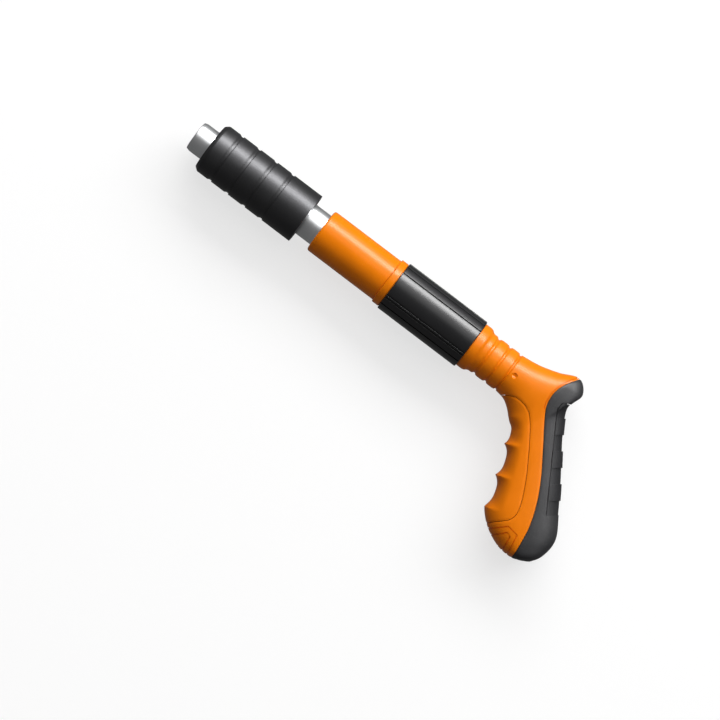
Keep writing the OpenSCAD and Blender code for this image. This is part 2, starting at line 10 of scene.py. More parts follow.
import bpy
import numpy as np
from bpy.props import FloatProperty, FloatVectorProperty, IntProperty, PointerProperty
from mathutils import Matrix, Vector


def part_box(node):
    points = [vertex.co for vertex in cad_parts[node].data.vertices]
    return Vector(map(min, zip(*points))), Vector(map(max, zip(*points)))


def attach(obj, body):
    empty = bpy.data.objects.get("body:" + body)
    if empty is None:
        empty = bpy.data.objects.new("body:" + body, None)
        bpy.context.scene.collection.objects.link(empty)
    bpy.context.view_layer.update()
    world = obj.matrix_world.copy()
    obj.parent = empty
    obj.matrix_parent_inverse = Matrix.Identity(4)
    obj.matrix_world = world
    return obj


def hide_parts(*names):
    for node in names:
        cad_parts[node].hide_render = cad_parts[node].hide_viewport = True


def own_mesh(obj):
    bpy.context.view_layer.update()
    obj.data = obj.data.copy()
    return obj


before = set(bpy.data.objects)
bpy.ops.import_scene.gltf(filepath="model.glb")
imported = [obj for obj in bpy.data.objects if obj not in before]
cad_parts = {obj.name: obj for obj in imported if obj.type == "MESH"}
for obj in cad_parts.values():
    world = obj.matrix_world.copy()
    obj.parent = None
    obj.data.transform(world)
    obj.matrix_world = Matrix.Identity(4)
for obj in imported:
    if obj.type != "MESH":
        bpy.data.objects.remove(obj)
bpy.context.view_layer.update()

bl_info = {
    "name": "Push-to-fire fastening tool",
    "version": (1, 0, 0),
    "blender": (4, 5, 0),
    "location": "3D View > Sidebar > Fastening Tool",
    "description": "Builds the looks of a muffled fastening tool round its frame",
    "category": "Object",
}

MM = 0.001
NOZZLE_LOW, NOZZLE_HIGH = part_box("nozzle")
MUZZLE = Vector((NOZZLE_LOW.x, (NOZZLE_LOW.y + NOZZLE_HIGH.y) / 2,
                 (NOZZLE_LOW.z + NOZZLE_HIGH.z) / 2))

# Stations along the axis
MUFFLER_X, MUFFLER_END = 13.0, 96.6
SLEEVE_X, COLLAR_X, GRIP_X, NECK_X, HANDLE_X = 110.0, 168.0, 174.0, 242.0, 276.0
NOZZLE_END, BREECH_X, MAGNET_END = 58.0, 42.0, 8.0
GROOVE_CENTRES = (26.7, 41.5, 56.3, 71.1)
PORTS = (23.0, 30.0, 37.0)

# Radii of the turned pieces
BORE_R, CHAMBER_R, MAGNET_R, NOZZLE_R, BARREL_R = 7.0, 9.0, 9.3, 11.5, 12.5
MUFFLER_BORE, MUFFLER_R, NUT_R = 17.3, 19.5, 17.2
SLEEVE_BORE, SLEEVE_R, COLLAR_R = 15.4, 16.75, 18.0
GRIP_BORE, GRIP_R = 17.0, 19.25
PORT_R, PORT_REACH = 1.5, 14.0

# Play round a piece that fits another, and gap at a parting line
PLAY, SEAM = 0.05, 0.06

# Grooves of the grip sleeve: degrees from the middle of each side
RIB_TURNS = (-78, -56, -33, 25, 32, 52)

# Sides of turned pieces that don't take the general setting
GRIP_SIDES, SCREW_SIDES, HOLE_SIDES, SOCKET_SIDES = 216, 48, 24, 6

# Neck of the handle: distance behind the grip sleeve and radius
NECK_PROFILE = [
    (0, 17.35), (0.4, 17.75), (6, 17.75), (8.6, 15.6), (12, 15.6), (13.2, 14.3),
    (14.2, 14.3), (15.4, 15.6), (21.8, 15.6), (22.8, 14.3), (23.8, 14.3),
    (24.8, 15.6), (31, 15.6), (31.9, 14.3), (32.7, 14.3), (33.6, 15.5),
]
# Share of a line that is cut off at each of its corners
NECK_CUT = 0.2

# Ribs of the handle: front x, front y, rear x, rear y, half thickness
RIBS = [
    (275.9, -15.4, 275.9, 15.4, 15.4),
    (284.0, -17.2, 289.0, 17.2, 15.6),
    (292.2, -23.5, 303.0, 21.3, 15.8),
    (295.2, -29.4, 317.0, 26.8, 15.4),
    (298.4, -35.3, 325.8, 18.6, 15.2),
    (302.4, -41.3, 323.1, 5.3, 15.6),
    (306.5, -51.0, 331.6, -11.4, 16.8),
    (310.5, -62.3, 341.9, -26.4, 17.5),
    (314.2, -73.4, 352.2, -41.3, 18.3),
    (317.8, -84.5, 362.8, -57.7, 19.1),
    (328.1, -94.6, 370.6, -70.2, 19.4),
    (341.6, -101.0, 372.6, -79.0, 18.9),
    (353.1, -102.1, 370.9, -89.2, 16.8),
    (358.5, -100.5, 366.9, -96.0, 8.6),
]
FINGER_RIDGES = [(292.2, -23.5), (302.4, -41.3), (310.5, -62.3), (317.8, -84.5)]
FINGER_DEPTHS = (4.1, 3.6, 3.7)

# The form of the handle: points round a ring, rings between two ribs, how square
# a ring gets and after how many ribs, and how the butt's end is closed
COLUMNS, RIB_STEPS = 168, 16
ROUNDNESS, ROUND_RIBS = 2.4, 4
BUTT_BULGE = 0.4
BUTT_SHARES = (0.2, 0.4, 0.6, 0.8, 0.93, 1.0)

# Tongues that close the seams behind: part of each line, half width, reach, play
STRAP_TONGUE, FINGER_TONGUE, PAD_TONGUE = slice(22, -10), slice(1, -9), slice(7, None)
TONGUE_HALF, TONGUE_REACH, TONGUE_PLAY = 1.2, 4.0, 0.15

# Seams of the handle, and corners that close each region beyond its seam
STRAP_LINE = [
    (319.0, 30.5), (317.0, 25.9), (313.3, 20.6), (310.4, 15.3), (308.7, 9.9),
    (308.3, 4.0), (309.4, -2.1), (312.3, -8.0), (318.2, -17.1), (326.3, -29.0),
    (336.9, -45.2), (344.7, -60.1), (350.2, -75.2), (352.7, -88.5), (354.8, -107.3),
]
FINGER_LINE = [
    (281.8, -14.3), (289.3, -11.0), (297.7, -11.7), (304.7, -15.8), (314.5, -28.8),
    (329.2, -52.5), (337.1, -70.1), (337.3, -80.3), (328.7, -89.9), (320.3, -101.2),
]
STRAP_CORNERS = [(420, -110), (420, 40)]
FINGER_CORNERS = [(279, -110), (279, -17)]

# Palm pad: its edge, corners behind it, and the line of its blocks
PAD_EDGE = [
    (328.6, 11.2), (321.4, 7.6), (318.4, 6.6), (317.1, 4.6), (317.5, 0.6),
    (319.6, -4.4), (355.5, -63.9),
]
PAD_CORNERS = [(372.0, -52.0), (345.0, 0.0)]
PAD_LINE = [(325.0, -2.4), (363.8, -59.4)]
PAD_BLOCKS, BLOCK_IN, BLOCK_OUT = 6, 12, 9
PAD_SINK = 0.8

# Engraving of the butt: chevrons, a groove beside the seam and notches
CHEVRONS = [
    [(327.8, -96.6), (338.8, -85.6), (347.3, -86.7), (350.6, -104.0)],
    [(331.6, -99.5), (340.9, -89.4), (344.1, -90.4), (346.2, -104.0)],
]
NOTCHES = [
    (329.1, -95.9), (333.1, -98.2), (337.2, -100.0), (341.5, -101.2), (345.8, -101.9),
    (350.1, -102.2),
]
NOTCH_CENTRE = (335.0, -70.0)
NOTCH_R, NOTCH_OUT, NOTCH_REACH = 1.1, 0.6, 12
LIP_POINTS, LIP_IN = 66, 1.3
LINE_HALF = 0.4

# Place where the ribs close up below the horn, and how it is smoothed
CREASE, CREASE_REACH, CREASE_CORE, CREASE_PASSES = (317.0, 5.0), 11.0, 4, 40

DIMPLE, DIMPLE_Z, DIMPLE_R = (279, 0.6), 16.9, 2.6
SCREW_SPOTS = [(316.0, -22.0), (333.5, -50.1), (344.5, -80.0)]
SCREW_HOLE, HEAD_ROOM, HEAD_Z = 1.55, 3.3, -10.5

# Room for the spring tube and its flange in the neck
TUBE_ROOM, FLANGE_ROOM, TUBE_END = 11.55, 14.05, 306.2

# Past the tool on both sides of its middle plane
REACH = 60.0


def place(x, y=0.0, z=0.0):
    """A point on the tool's own axes, in the frame's metres."""
    return MUZZLE + Vector((x, y, z)) * MM


# ---- Modelling ----

EDGE_TURN = 24
MERGE = 1e-6


def deselect():
    """Leaves nothing selected."""
    bpy.ops.object.select_all(action="DESELECT")


def only(obj):
    """Selects one object and makes it the active one."""
    deselect()
    obj.select_set(True)
    bpy.context.view_layer.objects.active = obj


def named(name):
    """Names the object that was just added and puts its place in its mesh."""
    obj = bpy.context.object
    obj.name = obj.data.name = name
    bpy.ops.object.transform_apply(location=True, rotation=True, scale=True)
    return obj


def edit(obj, select="SELECT"):
    """Opens a mesh, with everything, nothing or what was picked selected."""
    only(obj)
    bpy.ops.object.mode_set(mode="EDIT")
    if select:
        bpy.ops.mesh.select_all(action=select)


def leave():
    """Closes the mesh that is open."""
    bpy.ops.object.mode_set(mode="OBJECT")


def close_up(obj):
    """Merges doubles and turns every face outwards."""
    edit(obj)
    bpy.ops.mesh.remove_doubles(threshold=MERGE)
    bpy.ops.mesh.select_all(action="SELECT")
    bpy.ops.mesh.normals_make_consistent(inside=False)
    leave()


def turn(name, stations, axis="X", centre=(0.0, 0.0), sides=0, hollow=True):
    """Turns a piece on a lathe: a ring is drawn out from station to station of
    (distance along the axis, radius). A hollow piece's last ring meets its first."""
    sides = sides or bpy.context.scene.tool_sizes.sides
    along_x = axis == "X"

    def spot(s):
        return place(s, *centre) if along_x else place(*centre, s)

    if hollow:
        stations = [*stations, stations[0]]
    deselect()
    s, radius = stations[0]
    bpy.ops.mesh.primitive_circle_add(
        vertices=sides, radius=radius * MM, location=spot(s),
        fill_type="NOTHING" if hollow else "NGON",
        rotation=(0, math.pi / 2, 0) if along_x else (0, 0, 0))
    obj = named(name)
    edit(obj)
    for (s, radius), (s_next, radius_next) in zip(stations, stations[1:]):
        step = (s_next - s) * MM
        bpy.ops.mesh.extrude_region_move(TRANSFORM_OT_translate={
            "value": (step, 0, 0) if along_x else (0, 0, step)})
        k = radius_next / radius
        if k != 1:
            bpy.ops.transform.resize(
                value=(1, k, k) if along_x else (k, k, 1), center_override=spot(s_next))
    leave()
    close_up(obj)
    return obj


def round_edges(obj, width, segments=3):
    """Rounds the edges that turn by more than EDGE_TURN degrees."""
    only(obj)
    bevel = obj.modifiers.new("rounded edges", "BEVEL")
    bevel.width = width * MM
    bevel.segments = segments
    bevel.limit_method = "ANGLE"
    bevel.angle_limit = math.radians(EDGE_TURN)
    bpy.ops.object.modifier_apply(modifier=bevel.name)


def prism(name, outline, low=-REACH, high=REACH):
    """Draws an outline of (x, y) points out through the tool's thickness."""
    deselect()
    bpy.ops.mesh.primitive_circle_add(vertices=len(outline), radius=1, fill_type="NGON")
    obj = named(name)
    for vertex, (x, y) in zip(obj.data.vertices, outline):
        vertex.co = place(x, y, low)
    edit(obj)
    bpy.ops.mesh.extrude_region_move(
        TRANSFORM_OT_translate={"value": (0, 0, (high - low) * MM)})
    leave()
    close_up(obj)
    return obj


def twin(obj, name, fatten=0.0):
    """A copy with its own mesh, grown or shrunk along its normals."""
    copy = obj.copy()
    copy.data = obj.data.copy()
    copy.name = copy.data.name = name
    bpy.context.collection.objects.link(copy)
    if fatten:
        edit(copy)
        bpy.ops.transform.shrink_fatten(value=fatten * MM)
        leave()
    return copy


def carve(obj, tool, operation="DIFFERENCE", keep_tool=False):
    """Cuts, keeps or joins with another solid."""
    only(obj)
    cut = obj.modifiers.new("carve", "BOOLEAN")
    cut.operation = operation
    cut.solver = "MANIFOLD"
    cut.object = tool
    bpy.ops.object.modifier_apply(modifier=cut.name)
    if not obj.data.polygons:
        raise RuntimeError(f"{obj.name} vanished when it was carved with {tool.name}")
    if not keep_tool:
        bpy.data.objects.remove(tool)


def join(objs, name):
    """Makes one piece of several."""
    only(objs[0])
    for obj in objs[1:]:
        obj.select_set(True)
    bpy.ops.object.join()
    objs[0].name = objs[0].data.name = name
    return objs[0]


def done(obj, body, kind, node, angle=32):
    """Shades a finished piece and sets it in the frame."""
    only(obj)
    bpy.ops.object.shade_smooth_by_angle(angle=math.radians(angle))
    obj.data.materials.clear()
    obj.data.materials.append(finish_of(kind))
    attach(obj, body)
    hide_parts(node)


def smooth_between(a, b, c, d, t):
    """Catmull-Rom value between b and c."""
    return (b + t * (c - a) / 2 + t * t * (a - 2.5 * b + 2 * c - d / 2)
            + t ** 3 * (1.5 * (b - c) + (d - a) / 2))


def curve_through(points, steps=10):
    """A smooth open line through points."""
    p = np.array(points, float)
    p = np.vstack([2 * p[0] - p[1], p, 2 * p[-1] - p[-2]])
    line = [smooth_between(*p[i:i + 4], t / steps)
            for i in range(len(points) - 1) for t in range(steps)]
    return np.array([*line, p[-2]])


def offset(line, distance):
    """A line moved sideways, to the left of its direction when positive."""
    ahead = np.gradient(np.asarray(line, float), axis=0)
    ahead /= np.linalg.norm(ahead, axis=1, keepdims=True)
    return line + np.stack([-ahead[:, 1], ahead[:, 0]], 1) * distance


def distance_to(points, line):
    """Distance of each (x, y) point to a line of straight pieces."""
    best = np.full(len(points), 1e9)
    for a, b in zip(line, line[1:]):
        d = b - a
        t = np.clip((points - a) @ d / (d @ d), 0, 1)
        best = np.minimum(best, np.linalg.norm(points - a - t[:, None] * d, axis=1))
    return best


# ---- Materials ----


def srgb(red, green, blue):
    """A screen colour of 0 to 255 as linear colour."""
    return tuple(((c / 255 + 0.055) / 1.055) ** 2.4 if c > 10 else c / 255 / 12.92
                 for c in (red, green, blue))


class Socket:
    """A shader socket that sums and products work on; node() adds any other node."""

    def __init__(self, tree, out=None):
        self.tree, self.out = tree, out

    def node(self, kind, settings=None, inputs=None, output=0):
        made = self.tree.nodes.new("ShaderNode" + kind)
        for name, value in (settings or {}).items():
            setattr(made, name, value)
        for name, value in (inputs or {}).items():
            if isinstance(value, Socket):
                self.tree.links.new(value.out, made.inputs[name])
            else:
                made.inputs[name].default_value = value
        return Socket(self.tree, made.outputs[output] if made.outputs else None)

    def maths(self, operation, *values):
        return self.node("Math", {"operation": operation}, dict(enumerate(values)))

    def __add__(self, other):
        return self.maths("ADD", self, other)

    def __sub__(self, other):
        return self.maths("SUBTRACT", self, other)

    def __mul__(self, other):
        return self.maths("MULTIPLY", self, other)

    __radd__, __rmul__ = __add__, __mul__

    def noise(self, scale, stretch=(1, 1, 1), detail=2.0):
        """Noise of so many cycles a metre, drawn out along some axes."""
        where = self.node("TexCoord", output=3)
        if stretch != (1, 1, 1):
            where = self.node("Mapping", inputs={"Vector": where, "Scale": stretch})
        return self.node("TexNoise", inputs={
            "Vector": where, "Scale": scale, "Detail": detail})

    def step(self, low, high):
        """0 below low, 1 above high."""
        return self.node("MapRange", {"interpolation_type": "SMOOTHSTEP"},
                         {"Value": self, "From Min": low, "From Max": high})

    def mix(self, first, second):
        """A colour between two, by this value."""
        ends = [c if isinstance(c, Socket) else (*c, 1) for c in (first, second)]
        return self.node("Mix", {"data_type": "RGBA"},
                         {0: self, 6: ends[0], 7: ends[1]}, output=2)


MATERIALS = {}

# Cycles a metre of the slow mottling, the scuffs, the dust and the turned lines
MOTTLE, SCUFF, DUST, TURNED = 45.0, 170.0, 600.0, 60.0
DUST_COLOUR = srgb(150, 148, 144)
BUMP_STRENGTH, BUMP_HEIGHT = 0.6, 0.0006


def scaled(colour, k):
    """A colour made lighter or darker."""
    return tuple(min(c * k, 1.0) for c in colour)


def finish(name, colour, metallic=0.0, roughness=0.4, mottle=0.06, grain=2200.0,
           grain_depth=0.02, stretch=(1, 1, 1), lines=0.0, scuff=0.25, scuff_colour=None,
           dust=0.0, specular=0.5):
    """One finish: a base colour with slow mottling, fine grain in the surface,
    turned lines round the barrel's axis, settled dust and worn scuffs."""
    if name in MATERIALS:
        return MATERIALS[name]
    material = bpy.data.materials.new(name)
    material.use_nodes = True
    tree = material.node_tree
    tree.nodes.clear()
    start = Socket(tree)
    slow = start.noise(MOTTLE, detail=3.0)
    fine = start.noise(grain, stretch, detail=1.5)
    scratch = start.noise(SCUFF, (1, 6, 6), detail=6.0).step(0.60, 0.74)
    colour_now = slow.step(0.3, 0.7).mix(scaled(colour, 1 - mottle),
                                         scaled(colour, 1 + mottle))
    worn = scratch * scuff
    colour_now = worn.mix(colour_now, scuff_colour or scaled(colour, 1.35))
    if dust:
        settled = start.noise(DUST, detail=4.0).step(0.52, 0.72) * dust
        colour_now = settled.mix(colour_now, DUST_COLOUR)
    rough = roughness * (0.9 + slow * 0.2) + worn * 0.12 + (fine - 0.5) * 0.05
    height = fine * grain_depth
    if lines:
        turned = start.noise(TURNED, (70, 1, 1), detail=3.0)
        height = height + turned * lines
        rough = rough + (turned - 0.5) * 0.10
    height = height - worn * 0.02
    bump = start.node("Bump", inputs={
        "Strength": BUMP_STRENGTH, "Distance": BUMP_HEIGHT, "Height": height})
    shader = start.node("BsdfPrincipled", inputs={
        "Base Color": colour_now, "Metallic": metallic, "Roughness": rough,
        "Normal": bump, "Specular IOR Level": specular})
    start.node("OutputMaterial", inputs={"Surface": shader})
    MATERIALS[name] = material
    return material


# ---- Settings ----


def size(name, text, default):
    """A length, whose default is in millimetres."""
    return FloatProperty(name=name, description=text, default=default * MM,
                         subtype="DISTANCE", unit="LENGTH")


def colour(name, text, default):
    """A linear colour."""
    return FloatVectorProperty(name=name, description=text, default=default,
                               size=3, min=0, max=1, subtype="COLOR")


class ToolSizes(bpy.types.PropertyGroup):
    """Sizes that shape the pieces."""

    sides: IntProperty(name="Sides", description="Sides of a turned piece",
                       default=144, min=24)
    groove_depth: size("Muffler groove", "Depth of the muffler's grooves", 0.8)
    rib_depth: size("Grip groove", "Depth of the grip sleeve's grooves", 0.8)
    rib_width: size("Grip groove width", "Width of the grip sleeve's grooves", 1.25)
    finger_reach: size("Finger hollow", "How far the finger hollows run inwards", 13.0)
    seam_gap: size("Seam gap", "Gap between two skins of the handle", 0.34)
    finger_gap: size("Finger seam", "Gap round the finger grip", 0.36)
    seam_valley: size("Seam valley", "How far the skins dip beside a seam", 0.35)
    seam_width: size("Seam width", "Half width of the dip beside a seam", 1.1)
    pad_step: size("Pad step", "Height of the palm pad's raised blocks", 0.5)
    engraving: size("Engraving", "Depth of the fine lines on the butt", 0.8)


class ToolFinishes(bpy.types.PropertyGroup):
    """Base colours of the finishes."""

    orange: colour("Orange paint", "Front sleeve and collar", (0.86, 0.208, 0.001))
    shell: colour("Orange plastic", "Shells and finger grip", (0.86, 0.205, 0.001))
    chrome: colour("Chrome", "Nozzle and barrel", (0.78, 0.79, 0.80))
    black_metal: colour("Black metal", "Muffler", (0.052, 0.052, 0.054))
    grip: colour("Grip black", "Grip sleeve", (0.011, 0.011, 0.012))
    rubber: colour("Rubber", "Backstrap", (0.026, 0.026, 0.028))
    pad: colour("Pad rubber", "Palm pad", (0.011, 0.011, 0.013))
    magnet: colour("Magnet", "Ring magnet", (0.18, 0.186, 0.198))
    tool_steel: colour("Tool steel", "Inner steel pieces", (0.30, 0.31, 0.33))
    spring: colour("Spring steel", "Springs", (0.55, 0.56, 0.58))
    bronze: colour("Bronze", "Bushes and guides", (0.50, 0.32, 0.12))
    seal: colour("Seal rubber", "Seals and wiper", (0.020, 0.020, 0.021))
    bumper: colour("Bumper polymer", "Buffers", (0.26, 0.05, 0.03))


class ToolStage(bpy.types.PropertyGroup):
    """Camera and light."""

    lens: FloatProperty(name="Lens", description="Focal length in millimetres",
                        default=200, unit="CAMERA")
    frame_width: FloatProperty(name="Frame", description="Width that the camera sees",
                               default=0.504, subtype="DISTANCE", unit="LENGTH")
    roll: FloatProperty(name="Roll", description="Turn of the camera over the tool",
                        default=math.radians(37.2), subtype="ANGLE", unit="ROTATION")
    strip_power: FloatProperty(name="Strip light", description="Power of the long strip",
                               default=110.0, subtype="POWER", unit="POWER")
    gloss_power: FloatProperty(name="Gloss light", description="Strip seen only in gloss",
                               default=220.0, subtype="POWER", unit="POWER")
    wall_power: FloatProperty(name="Wall light", description="Power of the light wall",
                              default=104.0, subtype="POWER", unit="POWER")
    sky: FloatProperty(name="Sky", description="Strength of the even light", default=0.14)
    paper_shade: FloatProperty(name="Paper", description="How much light the paper returns",
                               default=0.30, min=0, max=1)
    paper_glow: FloatProperty(name="Paper glow", description="Light from under the paper",
                              default=0.70)


# Material slots: colour's name, metallic, roughness and what sets the finish apart
FINISHES = {
    "chrome": ("chrome", 1.0, 0.34, {
        "mottle": 0.03, "grain_depth": 0.002, "lines": 0.004, "scuff": 0.10,
        "scuff_colour": (0.6, 0.6, 0.62)}),
    "black_metal": ("black_metal", 0.8, 0.40, {
        "grain": 3000, "grain_depth": 0.03, "lines": 0.008, "scuff": 0.10,
        "specular": 0.3}),
    "grip_black": ("grip", 0.0, 0.30, {"grain": 2600, "scuff": 0.2}),
    "orange_metal": ("orange", 0.0, 0.26, {
        "mottle": 0.03, "grain": 2600, "grain_depth": 0.012, "lines": 0.006,
        "scuff": 0.12, "specular": 0.2}),
    "orange_plastic": ("shell", 0.0, 0.32, {
        "mottle": 0.03, "grain": 1900, "grain_depth": 0.04, "scuff": 0.10,
        "specular": 0.2}),
    "strap_rubber": ("rubber", 0.0, 0.52, {
        "grain": 2300, "grain_depth": 0.07, "scuff": 0.2, "dust": 0.03,
        "specular": 0.35}),
    "pad_rubber": ("pad", 0.0, 0.56, {
        "grain": 1700, "grain_depth": 0.09, "scuff": 0.2, "dust": 0.03,
        "specular": 0.35}),
    "magnet": ("magnet", 1.0, 0.30, {}),
    "tool_steel": ("tool_steel", 1.0, 0.34, {"lines": 0.02}),
    "spring_steel": ("spring", 1.0, 0.27, {"grain_depth": 0.01}),
    "bronze": ("bronze", 1.0, 0.36, {"lines": 0.02}),
    "seal_rubber": ("seal", 0.0, 0.55, {"grain_depth": 0.05}),
    "bumper_polymer": ("bumper", 0.0, 0.45, {"grain_depth": 0.04}),
}


def finish_of(kind):
    """The finish of one material slot."""
    key, metallic, roughness, details = FINISHES[kind]
    base = tuple(getattr(bpy.context.scene.tool_finishes, key))
    return finish(kind, base, metallic, roughness, **details)


# ---- Barrel and muffler ----


class TOOL_OT_barrel(bpy.types.Operator):
    """Turns the nozzle and the barrel tube"""

    bl_idname = "tool.barrel"
    bl_label = "Barrel"

    def execute(self, context):
        nozzle = turn("nozzle_turned", [
            (0, 10.4), (0.5, 10.9), (2.8, NOZZLE_R), (NOZZLE_END, NOZZLE_R),
            (NOZZLE_END, CHAMBER_R), (BREECH_X, CHAMBER_R), (BREECH_X, BORE_R),
            (MAGNET_END, BORE_R), (MAGNET_END, MAGNET_R), (0, MAGNET_R)])
        round_edges(nozzle, 0.2)
        for x in PORTS:
            carve(nozzle, turn("port", [(-PORT_REACH, PORT_R), (PORT_REACH, PORT_R)],
                               "Z", (x, 0), HOLE_SIDES, hollow=False))
        done(nozzle, "barrel", "chrome", "nozzle")
        low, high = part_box("barrel_tube")
        front, rear = [(x - MUZZLE.x) / MM for x in (low.x, high.x)]
        tube = turn("barrel_turned", [
            (front, 8), (rear, 8), (rear, BARREL_R - 0.6), (rear - 0.6, BARREL_R),
            (NOZZLE_END, BARREL_R), (NOZZLE_END, CHAMBER_R), (front, CHAMBER_R)])
        round_edges(tube, 0.2)
        done(tube, "barrel", "chrome", "barrel_tube")
        return {"FINISHED"}


class TOOL_OT_muffler(bpy.types.Operator):
    """Turns the muffler's cap, grooved sleeve and rear nut"""

    bl_idname = "tool.muffler"
    bl_label = "Muffler"

    def execute(self, context):
        depth = context.scene.tool_sizes.groove_depth / MM
        floor = MUFFLER_R - depth
        front = MUFFLER_X + 2.8
        cap = turn("muffler_cap_turned", [
            (MUFFLER_X, NOZZLE_R + PLAY), (MUFFLER_X + 8, NOZZLE_R + PLAY),
            (MUFFLER_X + 8, MUFFLER_BORE), (front, MUFFLER_BORE), (front, MUFFLER_R),
            (MUFFLER_X, MUFFLER_R - 2.2)])
        round_edges(cap, 0.2, 2)
        done(cap, "barrel", "black_metal", "muffler_front_cap")
        stations = [(front + SEAM, MUFFLER_R)]
        for middle in GROOVE_CENTRES:
            stations += [(middle - 1.9, MUFFLER_R), (middle - 0.4, floor),
                         (middle + 1.2, floor), (middle + 1.5, MUFFLER_R)]
        stations += [(MUFFLER_END, MUFFLER_R), (MUFFLER_END, MUFFLER_BORE),
                     (front + SEAM, MUFFLER_BORE)]
        sleeve = turn("muffler_sleeve_turned", stations)
        round_edges(sleeve, 0.16, 2)
        done(sleeve, "barrel", "black_metal", "muffler_sleeve")
        rear = MUFFLER_END - 0.4
        nut = turn("muffler_nut_turned", [
            (rear - 7.6, BARREL_R), (rear, BARREL_R), (rear, NUT_R), (rear - 2.6, NUT_R),
            (rear - 2.6, 15.5), (rear - 4.4, 15.5), (rear - 4.4, NUT_R),
            (rear - 7.6, NUT_R)])
        round_edges(nut, 0.25)
        done(nut, "barrel", "black_metal", "muffler_rear_nut")
        return {"FINISHED"}


# ---- Body ----


class TOOL_OT_sleeves(bpy.types.Operator):
    """Turns the orange front sleeve and collar"""

    bl_idname = "tool.sleeves"
    bl_label = "Sleeves"

    def execute(self, context):
        sleeve = turn("front_sleeve_turned", [
            (SLEEVE_X, 13.0), (SLEEVE_X, SLEEVE_R - 1.6),
            (SLEEVE_X + 0.5, SLEEVE_R - 0.5), (SLEEVE_X + 1.6, SLEEVE_R),
            (COLLAR_X, SLEEVE_R), (COLLAR_X, SLEEVE_BORE), (SLEEVE_X + 3, SLEEVE_BORE),
            (SLEEVE_X + 3, 13.0)])
        round_edges(sleeve, 0.25)
        done(sleeve, "body", "orange_metal", "front_sleeve")
        front, rear = COLLAR_X + PLAY, GRIP_X - PLAY
        collar = turn("collar_turned", [
            (front, SLEEVE_BORE), (front, COLLAR_R - 0.6), (COLLAR_X + 0.6, COLLAR_R),
            (GRIP_X - 0.6, COLLAR_R), (rear, COLLAR_R - 0.6), (rear, GRIP_BORE),
            (GRIP_X - 3, GRIP_BORE), (GRIP_X - 3, SLEEVE_BORE)])
        round_edges(collar, 0.25)
        done(collar, "body", "orange_metal", "collar")
        return {"FINISHED"}


class TOOL_OT_grip_sleeve(bpy.types.Operator):
    """Turns the grip sleeve and mills its lengthwise grooves"""

    bl_idname = "tool.grip_sleeve"
    bl_label = "Grip sleeve"

    def execute(self, context):
        sizes = context.scene.tool_sizes
        depth, half = sizes.rib_depth / MM, sizes.rib_width / MM / 2
        sleeve = turn("grip_sleeve_milled", [
            (GRIP_X, GRIP_BORE), (GRIP_X, GRIP_R - 0.5), (GRIP_X + 0.5, GRIP_R),
            (NECK_X - 0.5, GRIP_R), (NECK_X, GRIP_R - 0.5), (NECK_X, GRIP_BORE)],
            sides=GRIP_SIDES)
        round_edges(sleeve, 0.15, 2)
        for side in (1, -1):
            for degrees in RIB_TURNS:
                # A form cutter with a flared mouth, drawn out along the sleeve
                deselect()
                bpy.ops.mesh.primitive_circle_add(vertices=6, radius=1, fill_type="NGON")
                cutter = named("rib_cutter")
                turned = math.radians(-degrees)
                flare = 0.25 if degrees < 0 else 0.06
                for vertex, (across, up) in zip(cutter.data.vertices, [
                        (-half, GRIP_R - depth), (half, GRIP_R - depth),
                        (half, GRIP_R - flare), (half + 2 * flare, GRIP_R + flare),
                        (-half - 2 * flare, GRIP_R + flare), (-half, GRIP_R - flare)]):
                    y = across * math.cos(turned) + up * math.sin(turned)
                    z = up * math.cos(turned) - across * math.sin(turned)
                    vertex.co = place(GRIP_X - 1, y, side * z)
                edit(cutter)
                bpy.ops.mesh.extrude_region_move(TRANSFORM_OT_translate={
                    "value": ((NECK_X - GRIP_X + 2) * MM, 0, 0)})
                leave()
                close_up(cutter)
                carve(sleeve, cutter)
        done(sleeve, "body", "grip_black", "grip_sleeve")
        return {"FINISHED"}


# ---- Handle ----


def neck_rings():
    """Front, rear and half thickness of the neck's rings, their corners softened."""
    points = np.array(NECK_PROFILE, float)
    for _ in range(2):
        cut = [points[0]]
        for a, b in zip(points, points[1:]):
            cut += [a + (b - a) * NECK_CUT, a + (b - a) * (1 - NECK_CUT)]
        points = np.array([*cut, points[-1]])
    return [((NECK_X + x, -r), (NECK_X + x, r), r, 2.0) for x, r in points]


def handle_rings():
    """The same behind the neck, between the ribs."""
    ribs = np.array(RIBS)
    rings = []
    for k in range((len(RIBS) - 1) * RIB_STEPS + 1):
        at = k / RIB_STEPS
        i = min(int(at), len(RIBS) - 2)
        near = [ribs[min(max(j, 0), len(RIBS) - 1)] for j in range(i - 1, i + 3)]
        r = smooth_between(*near, at - i)
        roundness = 2 + (ROUNDNESS - 2) * min(at, ROUND_RIBS) / ROUND_RIBS
        rings.append(((r[0], r[1]), (r[2], r[3]), r[4], roundness))
    return rings


def ring_points(ring):
    """Points round one rib, from the rear edge over the left side."""
    front, rear, half, roundness = ring
    front, rear = np.array(front), np.array(rear)
    a = np.linspace(0, 2 * math.pi, COLUMNS + 1)
    power = 2 / roundness
    u = np.sign(np.cos(a)) * np.abs(np.cos(a)) ** power
    v = np.sign(np.sin(a)) * np.abs(np.sin(a)) ** power
    v[-1] = v[0]
    middle, arm = (front + rear) / 2, (rear - front) / 2
    return np.column_stack([middle + np.outer(u, arm), v * half])


